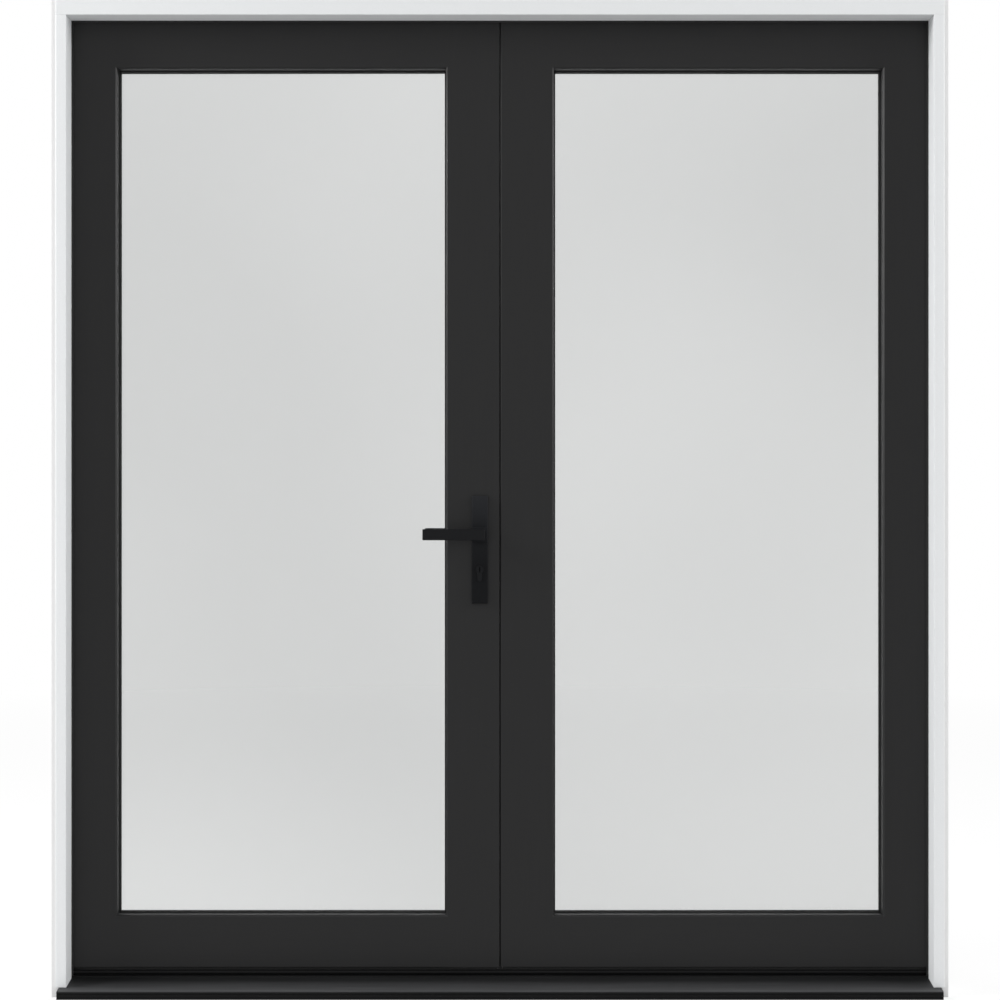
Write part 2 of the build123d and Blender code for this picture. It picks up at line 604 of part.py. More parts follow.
def faceplate_screws():
    """Screws that hold the edge plate above and below the case."""
    z_low, z_high = Z_CASE - SCREW_LENGTH, Z_CASE_TOP + SCREW_LENGTH
    y = Y_LOCK + FACEPLATE_WIDTH / 2 - SCREW_HEAD_RADIUS - 1
    heights = (LEAF_BOTTOM + BLOCK_LENGTH, z_low, z_high, Z_TOP - BLOCK_LENGTH)
    return [screw((-X_MEET, y, z), -1) for z in heights]


def machine_lock_stile(stile):
    """Cut the active leaf's lock stile for the lock and the shoot bolts."""
    half = FACEPLATE_WIDTH / 2
    stile -= block((-X_MEET - FACEPLATE_THICKNESS, -X_MEET + 1), (Y_LOCK - half, Y_LOCK + half),
                   (LEAF_BOTTOM - 1, Z_TOP + 1))
    stile -= case_box(SEAT)
    stile -= bolt_channel(-X_ROD, LEAF_BOTTOM - 1, Z_TOP + 1)
    stile -= rod((-X_LEVER, Y_LOCK, LEVER_HEIGHT), NECK_RADIUS + SEAT, 2 * LEAF_THICKNESS, "Y")
    stile -= cylinder_outline(2 * LEAF_THICKNESS, SEAT)
    stile -= Compound(faceplate_screws())
    return stile - Compound(plate_screws())


def cylinder_outline(length, grow=0.0):
    """The round barrel and hanging leg of the key cylinder, along Y."""
    barrel = rod((-X_LEVER, Y_LOCK, Z_CYLINDER), CYLINDER_RADIUS + grow, length, "Y")
    half = CYLINDER_LEG_WIDTH / 2 + grow
    z_foot = Z_CYLINDER + CYLINDER_RADIUS - CYLINDER_HEIGHT
    leg = block((-X_LEVER - half, -X_LEVER + half), (Y_LOCK - length / 2, Y_LOCK + length / 2),
                (z_foot + half - grow, Z_CYLINDER))
    toe = rod((-X_LEVER, Y_LOCK, z_foot + half - grow), half, length, "Y")
    return barrel + leg + toe


def plate_faces():
    """Outer faces of the two handle plates."""
    return Y_LEAF - HANDLE_PLATE_DEPTH, Y_ROOM + HANDLE_PLATE_DEPTH


def key_cylinder():
    """The cylinder's body, with the slot in which the cam turns."""
    y_front, y_back = plate_faces()
    length = y_back - y_front + 2 * CYLINDER_PROUD
    body = cylinder_outline(length)
    body -= rod((-X_LEVER, Y_LOCK, Z_CYLINDER), PLUG_RADIUS + RUNNING_FIT, length + 1, "Y")
    slot = CAM_WIDTH / 2 + BOLT_CLEARANCE
    return body - block((-X_LEVER - CAM_REACH, -X_LEVER + CAM_REACH), (Y_LOCK - slot, Y_LOCK + slot),
                        (Z_CYLINDER - CAM_REACH - BOLT_CLEARANCE, Z_CYLINDER + CAM_REACH))


def cylinder_cam():
    """The collar between the two plugs, with its driving nose pointing down."""
    collar = rod((-X_LEVER, Y_LOCK, Z_CYLINDER), CYLINDER_RADIUS - SEAT, CAM_WIDTH, "Y")
    nose = block((-X_LEVER - 3, -X_LEVER + 3), (Y_LOCK - CAM_WIDTH / 2, Y_LOCK + CAM_WIDTH / 2),
                 (Z_CYLINDER - CAM_REACH + BOLT_CLEARANCE, Z_CYLINDER))
    return collar + nose


def key_plug():
    """The outside plug with its keyway."""
    y_front = plate_faces()[0] - CYLINDER_PROUD
    y_end = Y_LOCK - CAM_WIDTH / 2
    body = rod((-X_LEVER, (y_front + y_end) / 2, Z_CYLINDER), PLUG_RADIUS, y_end - y_front, "Y")
    keyway = block((-X_LEVER - 1, -X_LEVER + 1), (y_front - 1, y_front + PLUG_RADIUS * 3),
                   (Z_CYLINDER - PLUG_RADIUS + 1.5, Z_CYLINDER + PLUG_RADIUS - 1.5))
    return body - keyway


def thumb_turn():
    """The inside plug and the oval knob that turns it."""
    y_start = Y_LOCK + CAM_WIDTH / 2
    y_face = plate_faces()[1] + CYLINDER_PROUD + SEAT
    plug = rod((-X_LEVER, (y_start + y_face) / 2, Z_CYLINDER), PLUG_RADIUS, y_face - y_start, "Y")
    collar = rod((-X_LEVER, y_face + 2, Z_CYLINDER), CYLINDER_RADIUS - 1, 4, "Y")
    wing = rod((-X_LEVER, y_face + THUMB_LENGTH / 2, Z_CYLINDER), THUMB_RADIUS, THUMB_LENGTH, "Y")
    wing &= block((-X_LEVER - THUMB_THICKNESS / 2, -X_LEVER + THUMB_THICKNESS / 2),
                  (y_face, y_face + THUMB_LENGTH), (Z_CYLINDER - THUMB_RADIUS, Z_CYLINDER + THUMB_RADIUS))
    return plug + collar + wing


def latch_bolt():
    """The latch, held back, with its bevel towards the closing side."""
    z = Z_LATCH
    half = LATCH_THICKNESS / 2
    x_nose = -X_MEET - SEAT
    outline = [(x_nose - LATCH_LENGTH, Y_LOCK - half), (x_nose - LATCH_THROW, Y_LOCK - half),
               (x_nose, Y_LOCK + half), (x_nose - LATCH_LENGTH, Y_LOCK + half)]
    return upright(outline, z - LATCH_HEIGHT / 2, z + LATCH_HEIGHT / 2)


def deadbolt():
    z = Z_CYLINDER
    x_nose = -X_MEET - SEAT
    half = DEADBOLT_THICKNESS / 2
    return block((x_nose - DEADBOLT_LENGTH, x_nose), (Y_LOCK - half, Y_LOCK + half),
                 (z - DEADBOLT_HEIGHT / 2, z + DEADBOLT_HEIGHT / 2))


def lock_hub():
    """The hub that the spindle turns inside the lock case."""
    disc = rod((-X_LEVER, Y_LOCK, LEVER_HEIGHT), HUB_RADIUS, HUB_THICKNESS, "Y")
    collar = rod((-X_LEVER, Y_LOCK, LEVER_HEIGHT), HUB_COLLAR_RADIUS, CASE_THICKNESS, "Y")
    side = SPINDLE_SIDE + 2 * RUNNING_FIT
    return disc + collar - Pos(-X_LEVER, Y_LOCK, LEVER_HEIGHT) * Box(side, 2 * CASE_THICKNESS, side)


def shoot_bolt(upper):
    """A square rod from the lock case to the top or the bottom of the leaf."""
    half = ROD_SIDE / 2
    gap = BOLT_THROW / 2 + BOLT_SETBACK
    if upper:
        z = (Z_LATCH + LATCH_HEIGHT / 2 + gap, Z_TOP - BOLT_SETBACK)
    else:
        z = (LEAF_BOTTOM + BOLT_SETBACK, Z_CYLINDER - DEADBOLT_HEIGHT / 2 - gap)
    return block((-X_ROD - half, -X_ROD + half), (Y_LOCK - half, Y_LOCK + half), z)


def handle_plate(outside):
    """A long narrow plate with its square boss round the lever's neck."""
    y_front, y_back = plate_faces()
    y = (y_front, Y_LEAF) if outside else (Y_ROOM, y_back)
    half = HANDLE_PLATE_WIDTH / 2
    x = (-X_LEVER - half, -X_LEVER + half)
    body = block(x, y, (PLATE_BOTTOM, PLATE_TOP))
    body = chamfer(body.edges().group_by(Axis.Y)[0 if outside else -1], HANDLE_PLATE_EDGE)
    y_boss = (y_front - BOSS_DEPTH, y_front) if outside else (y_back, y_back + BOSS_DEPTH)
    boss = block(x, y_boss, (LEVER_HEIGHT - BOSS_HEIGHT / 2, LEVER_HEIGHT + BOSS_HEIGHT / 2))
    boss = chamfer(boss.edges().group_by(Axis.Y)[0 if outside else -1], LEVER_EDGE)
    body += boss
    body -= rod((-X_LEVER, Y_LOCK, LEVER_HEIGHT), NECK_RADIUS + RUNNING_FIT, 4 * LEAF_THICKNESS, "Y")
    body -= cylinder_outline(4 * LEAF_THICKNESS, RUNNING_FIT)
    for z in plate_screw_heights():
        body -= plate_screw(z, outside)
    return body


def plate_screw_heights():
    return PLATE_BOTTOM + PLATE_SCREW_INSET, PLATE_TOP - PLATE_SCREW_INSET


def plate_screw(z, outside):
    """A plate screw, its head just below the plate's face."""
    y_front, y_back = plate_faces()
    face = y_front + SEAT if outside else y_back - SEAT
    way = 1 if outside else -1
    head = rod((-X_LEVER, face + way * SCREW_HEAD_DEPTH / 2, z), PLATE_SCREW_RADIUS, SCREW_HEAD_DEPTH, "Y")
    shank = rod((-X_LEVER, face + way * SCREW_LENGTH, z), SCREW_RADIUS, 2 * SCREW_LENGTH, "Y")
    return head + shank


def plate_screws():
    return [plate_screw(z, outside) for z in plate_screw_heights() for outside in (True, False)]


def lever(outside):
    """A flat bar lever with its round neck running back into the plate."""
    way = -1 if outside else 1
    y_leaf = Y_LEAF if outside else Y_ROOM
    y_face = y_leaf + way * LEVER_STANDOFF
    y_bar = sorted((y_face, y_face - way * LEVER_BAR_DEPTH))
    half = LEVER_BAR_HEIGHT / 2
    bar = block((-X_LEVER - LEVER_REACH, -X_LEVER + LEVER_HEEL), y_bar,
                (LEVER_HEIGHT - half, LEVER_HEIGHT + half))
    bar = chamfer(bar.edges(), LEVER_EDGE)
    y_root = y_leaf + way * SEAT
    y_bar_back = y_face - way * LEVER_BAR_DEPTH
    neck = rod((-X_LEVER, (y_root + y_bar_back) / 2, LEVER_HEIGHT), NECK_RADIUS,
               abs(y_bar_back - y_root), "Y")
    socket_end = y_root + way * SPINDLE_SOCKET
    side = SPINDLE_SIDE + 2 * RUNNING_FIT
    socket = block((-X_LEVER - side / 2, -X_LEVER + side / 2), sorted((y_root - way, socket_end)),
                   (LEVER_HEIGHT - side / 2, LEVER_HEIGHT + side / 2))
    return bar + neck - socket


def spindle():
    half = SPINDLE_SIDE / 2
    reach = SPINDLE_SOCKET - SEAT
    return block((-X_LEVER - half, -X_LEVER + half), (Y_LEAF - reach, Y_ROOM + reach),
                 (LEVER_HEIGHT - half, LEVER_HEIGHT + half))


# Meeting edge of the right leaf

def strike_plate():
    """The plate that receives the latch and the deadbolt."""
    half = FACEPLATE_WIDTH / 2
    body = block((X_MEET, X_MEET + STRIKE_THICKNESS), (Y_LOCK - half, Y_LOCK + half), STRIKE_SPAN)
    return body - strike_holes(4 * STRIKE_THICKNESS)


def strike_holes(depth):
    holes = []
    for z, height, thickness in ((Z_CYLINDER, DEADBOLT_HEIGHT, DEADBOLT_THICKNESS),
                                 (Z_LATCH, LATCH_HEIGHT, LATCH_THICKNESS)):
        half_height = height / 2 + BOLT_HOLE
        half_thickness = thickness / 2 + BOLT_HOLE
        holes.append(block((X_MEET - 1, X_MEET + depth), (Y_LOCK - half_thickness, Y_LOCK + half_thickness),
                           (z - half_height, z + half_height)))
    return holes


def flush_span(upper):
    """Lowest and highest point of a flush bolt at rest."""
    if upper:
        return Z_TOP - BOLT_SETBACK - FLUSH_BOLT_LENGTH, Z_TOP - BOLT_SETBACK
    return LEAF_BOTTOM + BOLT_SETBACK, LEAF_BOTTOM + BOLT_SETBACK + FLUSH_BOLT_LENGTH


def knob_height(upper):
    low, high = flush_span(upper)
    return low + FLUSH_KNOB_LENGTH if upper else high - FLUSH_KNOB_LENGTH


def flush_bolt(upper):
    """A sliding bolt with the thumb piece that moves it."""
    half = ROD_SIDE / 2
    body = block((X_ROD - half, X_ROD + half), (Y_LOCK - half, Y_LOCK + half), flush_span(upper))
    z_knob = knob_height(upper)
    knob = block((X_MEET + SEAT, X_ROD), (Y_LOCK - FLUSH_KNOB_WIDTH / 2, Y_LOCK + FLUSH_KNOB_WIDTH / 2),
                 (z_knob - FLUSH_KNOB_LENGTH / 2, z_knob + FLUSH_KNOB_LENGTH / 2))
    return body + knob


def flush_plate_blank(upper):
    """An edge plate's own rectangle, at the top or the bottom of the leaf."""
    half = FACEPLATE_WIDTH / 2
    z = (LEAF_BOTTOM, LEAF_BOTTOM + FLUSH_PLATE_LENGTH)
    if upper:
        z = (Z_TOP - FLUSH_PLATE_LENGTH, Z_TOP)
    return block((X_MEET, X_MEET + STRIKE_THICKNESS), (Y_LOCK - half, Y_LOCK + half), z)


def flush_plates():
    """Edge plates over the flush bolts, slotted for the thumb pieces."""
    plates = []
    travel = FLUSH_KNOB_LENGTH / 2 + BOLT_THROW + BOLT_HOLE
    half = FLUSH_KNOB_WIDTH / 2 + BOLT_CLEARANCE
    for upper in (True, False):
        z_knob = knob_height(upper)
        slot = block((X_MEET - 1, X_ROD), (Y_LOCK - half, Y_LOCK + half), (z_knob - travel, z_knob + travel))
        plates.append(flush_plate_blank(upper) - slot)
    return plates


def machine_inactive_stile(stile):
    """Cut the right leaf's meeting stile for the strike, the bolts and the seal."""
    half = FACEPLATE_WIDTH / 2
    stile -= block((X_MEET - 1, X_MEET + STRIKE_THICKNESS), (Y_LOCK - half, Y_LOCK + half), STRIKE_SPAN)
    stile -= strike_holes(DEADBOLT_THROW + BOLT_HOLE)
    for upper in (True, False):
        low, high = flush_span(upper)
        ends = (low - BOLT_HOLE, Z_TOP + 1) if upper else (LEAF_BOTTOM - 1, high + BOLT_HOLE)
        stile -= flush_plate_blank(upper)
        stile -= bolt_channel(X_ROD, *ends)
    return stile - seal_base(X_MEET - 1, LEAF_BOTTOM - 1, Z_TOP + 1)


def seal_base(x_low, bottom, top):
    """The meeting seal's strip of depth, from x_low to the groove's floor."""
    y_low = Y_LEAF + SEAL_SETBACK
    return block((x_low, X_MEET + SEAL_DEPTH), (y_low, y_low + SEAL_WIDTH), (bottom, top))


def meeting_seal():
    """The seal in its groove, with a soft lip that reaches across the gap."""
    y_lip = Y_LEAF + SEAL_SETBACK + SEAL_WIDTH / 2
    lip = block((-X_MEET + SEAT, X_MEET + SEAL_DEPTH / 2), (y_lip - SEAL_LIP / 2, y_lip + SEAL_LIP / 2),
                (LEAF_BOTTOM, Z_TOP))
    return seal_base(X_MEET, LEAF_BOTTOM, Z_TOP) + lip


# Assembly

def frame_nodes():
    left_jamb = jamb()
    left_stop = side_stop()
    left_cover = side_cladding()
    strip = side_strip()
    plates = [hinge_half(height, True) for height in HINGE_HEIGHTS]
    pins = [hinge_pin(height) for height in HINGE_HEIGHTS]
    screws = hinge_screws(-1)
    return {
        "left_jamb": left_jamb,
        "right_jamb": opposite(left_jamb),
        "head_jamb": head_jamb(),
        "frame_stops": [left_stop, opposite(left_stop), head_stop()],
        "side_cladding": [left_cover, opposite(left_cover)],
        "head_cladding": head_cladding(),
        "sill": sill(),
        "sill_core": sill_core(),
        "threshold_cap": threshold_cap(),
        "weatherstrips": [strip, opposite(strip), head_strip()],
        "bolt_keeps": bolt_keeps(),
        "hinge_frame_plates": plates + [opposite(item) for item in plates],
        "hinge_pins": pins + [opposite(item) for item in pins],
        "hinge_frame_screws": screws + [opposite(item) for item in screws],
    }


def leaf_nodes():
    """The pieces that both leaves share, named for the left leaf."""
    nodes = leaf_frame()
    for height in HINGE_HEIGHTS:
        nodes["hinge_stile"] -= plate_blank(height, -X_HINGE, -X_HINGE + PLATE_THICKNESS)
    nodes["hinge_stile"] -= Compound(hinge_screws(1, clearance=PIN_FIT))
    nodes["glass_panes"] = [pane(Y_PANE), pane(Y_PANE + PANE_THICKNESS + PANE_SPACE)]
    nodes["glass_spacer"] = glass_spacer()
    nodes["glazing_gasket"] = glazing_gasket()
    nodes["glazing_beads"] = glazing_beads()
    nodes["setting_blocks"] = setting_blocks()
    nodes["door_sweep"] = door_sweep()
    nodes["hinge_leaf_plates"] = [hinge_half(height, False) for height in HINGE_HEIGHTS]
    nodes["leaf_screws"] = hinge_screws(1)
    return nodes


def lock_nodes():
    return {
        "lock_case": lock_case(),
        "lock_faceplate": lock_faceplate(),
        "handle_plate_outside": handle_plate(True),
        "handle_plate_inside": handle_plate(False),
        "handle_plate_screws": plate_screws(),
        "key_cylinder": key_cylinder(),
        "key_plug": key_plug(),
        "cylinder_cam": cylinder_cam(),
        "thumb_turn": thumb_turn(),
        "lever_outside": lever(True),
        "lever_inside": lever(False),
        "spindle": spindle(),
        "lock_hub": lock_hub(),
        "latch_bolt": latch_bolt(),
        "deadbolt": deadbolt(),
        "top_shoot_bolt": shoot_bolt(True),
        "bottom_shoot_bolt": shoot_bolt(False),
    }


def meeting_nodes():
    return {
        "strike_plate": strike_plate(),
        "top_flush_bolt": flush_bolt(True),
        "bottom_flush_bolt": flush_bolt(False),
        "flush_bolt_plates": flush_plates(),
        "meeting_seal": meeting_seal(),
    }


def mirrored(shape):
    return [opposite(item) for item in shape] if isinstance(shape, list) else opposite(shape)


def solid_list(shape):
    """Every solid of a piece, or of a list of like pieces."""
    pieces = shape if isinstance(shape, list) else [shape]
    return [solid for piece in pieces for solid in piece.solids()]


def main():
    nodes = frame_nodes()
    leaf = leaf_nodes()
    for name, shape in leaf.items():
        left, right = shape, mirrored(shape)
        if name == "lock_stile":
            left, right = machine_lock_stile(left), machine_inactive_stile(right)
        nodes["left_" + name] = left
        nodes["right_" + name] = right
    nodes["left_leaf_screws"] += faceplate_screws()
    nodes.update(lock_nodes())
    nodes.update(meeting_nodes())
    os.makedirs("parts", exist_ok=True)
    for name, shape in nodes.items():
        solids = solid_list(shape)
        piece = solids[0] if len(solids) == 1 else Compound(children=solids)
        export_step(piece, f"parts/{name}.step")
    print(len(nodes), "nodes")


main()
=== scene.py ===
import bpy
import json
import math
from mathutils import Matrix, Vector


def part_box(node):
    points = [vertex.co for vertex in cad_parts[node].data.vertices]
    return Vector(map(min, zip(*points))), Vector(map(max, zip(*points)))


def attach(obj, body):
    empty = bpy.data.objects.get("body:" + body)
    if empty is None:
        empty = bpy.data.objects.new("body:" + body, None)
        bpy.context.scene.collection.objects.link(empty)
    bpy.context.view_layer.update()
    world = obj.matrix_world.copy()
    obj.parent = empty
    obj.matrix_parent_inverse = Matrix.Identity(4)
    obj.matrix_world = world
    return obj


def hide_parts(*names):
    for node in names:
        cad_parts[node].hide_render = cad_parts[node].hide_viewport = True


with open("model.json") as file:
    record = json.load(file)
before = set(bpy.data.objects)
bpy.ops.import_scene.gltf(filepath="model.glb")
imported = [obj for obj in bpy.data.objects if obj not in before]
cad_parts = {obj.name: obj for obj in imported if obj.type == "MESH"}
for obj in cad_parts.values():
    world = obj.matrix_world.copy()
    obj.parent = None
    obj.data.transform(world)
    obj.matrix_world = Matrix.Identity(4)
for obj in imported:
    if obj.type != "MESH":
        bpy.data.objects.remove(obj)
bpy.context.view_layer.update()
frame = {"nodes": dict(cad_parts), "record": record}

bl_info = {
    "name": "French doors",
    "version": (1, 0, 0),
    "blender": (4, 5, 0),
    "location": "View3D > Sidebar > Doors",
    "description": "Finishes a pair of french doors in their frame and sets up the studio",
    "category": "Object",
}

# The camera stands square to the doors. The photograph is 1000 pixels wide,
# and at this distance one pixel covers about two millimetres of the frame.
CAMERA_PLACE = (0.0, -4.258, 1.007)
CAMERA_LENS = 74.7
SENSOR_WIDTH = 36.0

FLOOR_SIZE = 24
FLOOR_FADE = (2.0, 7.0)        # metres from the doors over which the floor turns white
WORLD_LIGHT = 0.5              # strength of the world where it only lights
LAMP_SIZE = 2.6
LAMP_TARGET = (0, 0, 1.0)

LEAF_PIECES = ("hinge_stile", "lock_stile", "top_rail", "bottom_rail")
SIDES = ("left", "right")

# Painted light and shade on the sill by share of SILL_HEIGHT: painted shade on the front face,
# a painted highlight on the nose's top edge, then painted shade darkening up the slope towards the
# leaves
SILL_HEIGHT = 0.025
SILL_PAINTED_SHADE = ((0.0, 0.12), (0.6, 0.12), (0.67, 1.0), (0.76, 0.75), (0.88, 0.55), (1.0, 0.2))

# Painted light and shade on the handle plates by share of PLATE_HEIGHT: a painted highlight palest
# at the top, painted shade below the lever
PLATE_HEIGHT = 1.015
PLATE_PAINTED_SHADE = ((0.0, 0.3), (0.86, 0.3), (0.93, 0.62), (1.0, 1.0))

# A faint band of painted reflection in the glass: the panes let a little more through along it
BAND_SLANT = math.radians(-32)
BAND_SCALE = 0.62
BAND_DEPTH = 0.012

# Rounding of edges
WELD_REACH = 0.00002
FLAT_ANGLE = math.radians(0.5)
SHARP_ANGLE = math.radians(40)
SMOOTH_ANGLE = math.radians(32)
RAIL_SLACK = 0.001             # how far past the glass opening an edge still counts as in it
SAME_PLANE = 0.0001

# Soft seals, in metres
LIP_THICKNESS = 0.0012
TOUCH = 0.00002                # between the lip and the edge it presses on
PAD_GAP = 0.0003               # round the pad between the sweeps


class DoorColours(bpy.types.PropertyGroup):
    leaf: bpy.props.FloatVectorProperty(
        name="Leaf paint", description="Colour of the stiles, rails and beads",
        default=(0.0105, 0.0105, 0.0108), subtype="COLOR", size=3, min=0, max=1)
    jamb: bpy.props.FloatVectorProperty(
        name="Jamb paint", description="Colour of the jambs and the head",
        default=(0.86, 0.86, 0.86), subtype="COLOR", size=3, min=0, max=1)
    cover: bpy.props.FloatVectorProperty(
        name="Cover paint", description="Colour of the metal covers outside",
        default=(0.84, 0.855, 0.865), subtype="COLOR", size=3, min=0, max=1)
    # The sill's colour where its painted highlight is; painted shade darkens it elsewhere
    sill: bpy.props.FloatVectorProperty(
        name="Sill", description="Colour of the sill at the front of its slope",
        default=(0.06, 0.061, 0.063), subtype="COLOR", size=3, min=0, max=1)
    # The cap is the sill's metal darkened as painted shade, for the shadow it stands in at the
    # foot of the leaves
    cap: bpy.props.FloatVectorProperty(
        name="Threshold cap", description="Colour of the threshold cap",
        default=(0.0085, 0.0086, 0.009), subtype="COLOR", size=3, min=0, max=1)
    handle: bpy.props.FloatVectorProperty(
        name="Handle", description="Colour of the levers, hinges and cylinder",
        default=(0.005, 0.0053, 0.0062), subtype="COLOR", size=3, min=0, max=1)
    # The plates' coat is the levers' black, made paler here as a painted highlight at their top
    plate: bpy.props.FloatVectorProperty(
        name="Handle plate", description="Colour of the handle plates at their top",
        default=(0.02, 0.021, 0.0235), subtype="COLOR", size=3, min=0, max=1)
    rubber: bpy.props.FloatVectorProperty(
        name="Seals", description="Colour of the weatherstrips and gaskets",
        default=(0.006, 0.006, 0.006), subtype="COLOR", size=3, min=0, max=1)
    glass: bpy.props.FloatProperty(
        name="Glass clearness", description="Share of light that each face of a pane lets through",
        default=0.905, min=0, max=1, subtype="FACTOR")


class DoorSizes(bpy.types.PropertyGroup):
    paint_edge: bpy.props.FloatProperty(
        name="Painted edge", description="Rounding of the painted wooden edges",
        default=0.0010, min=0, unit="LENGTH", precision=4)
    metal_edge: bpy.props.FloatProperty(
        name="Metal edge", description="Rounding of the edges of covers and plates",
        default=0.0005, min=0, unit="LENGTH", precision=4)
    lever_edge: bpy.props.FloatProperty(
        name="Lever edge", description="Rounding along the lever bars",
        default=0.0014, min=0, unit="LENGTH", precision=4)


# Materials

def surface(name, colour, roughness, grain, metallic=0.0, variation=0.12, bump=0.05, specular=0.5):
    """A finish whose colour, gloss and relief vary with a grain in object space."""
    material = bpy.data.materials.new(name)
    material.use_nodes = True
    nodes, links = material.node_tree.nodes, material.node_tree.links
    shader = nodes["Principled BSDF"]
    shader.inputs["Metallic"].default_value = metallic
    shader.inputs["Specular IOR Level"].default_value = specular
    place = nodes.new("ShaderNodeTexCoord")
    stretch = nodes.new("ShaderNodeMapping")
    stretch.inputs["Scale"].default_value = grain
    noise = nodes.new("ShaderNodeTexNoise")
    noise.inputs["Scale"].default_value = 1.0
    noise.inputs["Detail"].default_value = 5.0
    tint = nodes.new("ShaderNodeValToRGB")
    tint.color_ramp.elements[0].position = 0.3
    tint.color_ramp.elements[1].position = 0.7
    tint.color_ramp.elements[0].color = [c * (1 - variation) for c in colour] + [1]
    tint.color_ramp.elements[1].color = [min(1, c * (1 + variation)) for c in colour] + [1]
    gloss = nodes.new("ShaderNodeMapRange")
    gloss.inputs["To Min"].default_value = roughness * 0.88
    gloss.inputs["To Max"].default_value = roughness * 1.12
    relief = nodes.new("ShaderNodeBump")
    relief.inputs["Strength"].default_value = bump
    relief.inputs["Distance"].default_value = 0.0005
    links.new(place.outputs["Object"], stretch.inputs["Vector"])
    links.new(stretch.outputs["Vector"], noise.inputs["Vector"])
    links.new(noise.outputs["Fac"], tint.inputs["Fac"])
    links.new(noise.outputs["Fac"], gloss.inputs["Value"])
    links.new(noise.outputs["Fac"], relief.inputs["Height"])
    links.new(tint.outputs["Color"], shader.inputs["Base Color"])
    links.new(gloss.outputs["Result"], shader.inputs["Roughness"])
    links.new(relief.outputs["Normal"], shader.inputs["Normal"])
    return material


def paint_light_by_height(material, height, painted_shades):
    """Multiply a finish's colour by painted light and shade that follow the height in object
    space.
    """
    nodes, links = material.node_tree.nodes, material.node_tree.links
    shader = nodes["Principled BSDF"]
    colour = shader.inputs["Base Color"].links[0].from_socket
    place = nodes.new("ShaderNodeTexCoord")
    apart = nodes.new("ShaderNodeSeparateXYZ")
    level = nodes.new("ShaderNodeMapRange")
    level.inputs["From Max"].default_value = height
    ramp = nodes.new("ShaderNodeValToRGB")
    stops = ramp.color_ramp.elements
    stops[0].position, stops[1].position = painted_shades[0][0], painted_shades[-1][0]
    for share, _ in painted_shades[1:-1]:
        stops.new(share)
    for stop, (_, shade) in zip(stops, painted_shades):
        stop.color = (shade, shade, shade, 1)
    product = nodes.new("ShaderNodeVectorMath")
    product.operation = "MULTIPLY"
    links.new(place.outputs["Object"], apart.inputs["Vector"])
    links.new(apart.outputs["Z"], level.inputs["Value"])
    links.new(level.outputs["Result"], ramp.inputs["Fac"])
    links.new(colour, product.inputs[0])
    links.new(ramp.outputs["Color"], product.inputs[1])
    links.new(product.outputs["Vector"], shader.inputs["Base Color"])


def finish(name):
    """The named finish, made on its first use."""
    if name in bpy.data.materials:
        return bpy.data.materials[name]
    colours = bpy.context.scene.door_colours
    upright, level = (260, 260, 9), (9, 260, 260)
    rolled, fine = (6, 320, 320), (1400, 1400, 1400)
    if name == "leaf_paint_upright":
        return surface(name, colours.leaf, 0.45, upright, variation=0.06, bump=0.05, specular=0.25)
    if name == "leaf_paint_level":
        return surface(name, colours.leaf, 0.45, level, variation=0.06, bump=0.05, specular=0.25)
    if name == "jamb_paint_upright":
        return surface(name, colours.jamb, 0.5, upright, variation=0.012, bump=0.05)
    if name == "jamb_paint_level":
        return surface(name, colours.jamb, 0.5, level, variation=0.012, bump=0.05)
    if name == "cover_coat":
        return surface(name, colours.cover, 0.42, (420, 420, 420), variation=0.01, bump=0.04)
    if name == "sill_anodised_painted_light":
        material = surface(name, colours.sill, 0.5, rolled, variation=0.18, bump=0.06,
                           specular=0.08)
        # Painted highlight and shade: the sill's colour is multiplied down away from the nose's
        # top edge
        paint_light_by_height(material, SILL_HEIGHT, SILL_PAINTED_SHADE)
        return material
    # Same metal as the sill, with a darker colour as painted shade
    if name == "cap_anodised_painted_shade":
        return surface(name, colours.cap, 0.5, rolled, variation=0.18, bump=0.06, specular=0.08)
    if name == "handle_coat":
        return surface(name, colours.handle, 0.38, fine, variation=0.15, specular=0.12)
    if name == "plate_coat_painted_light":
        material = surface(name, colours.plate, 0.4, fine, variation=0.15, specular=0.07)
        # Painted highlight at the top of the plates, painted shade under the lever
        paint_light_by_height(material, PLATE_HEIGHT, PLATE_PAINTED_SHADE)
        return material
    if name == "seal_rubber":
        return surface(name, colours.rubber, 0.75, (700, 700, 700), variation=0.2, bump=0.1)
    if name == "lock_steel":
        return surface(name, (0.5, 0.5, 0.49), 0.32, (500, 500, 30), metallic=1.0, variation=0.08)
    if name == "screw_steel":
        return surface(name, (0.42, 0.42, 0.42), 0.3, (900, 900, 900), metallic=1.0, variation=0.1)
    if name == "plug_brass":
        return surface(name, (0.62, 0.47, 0.2), 0.3, (900, 60, 900), metallic=1.0, variation=0.08)
    if name == "spacer_bar":
        return surface(name, (0.04, 0.04, 0.04), 0.5, (300, 300, 300), variation=0.15)
    if name == "block_plastic":
        return surface(name, (0.2, 0.2, 0.2), 0.55, (400, 400, 400), variation=0.1)
    if name == "core_wood":
        return surface(name, (0.45, 0.3, 0.17), 0.7, (5, 120, 160), variation=0.3, bump=0.2)
    if name == "pane_glass":
        return pane_glass(name, colours.glass)
    raise RuntimeError("no finish named " + name)


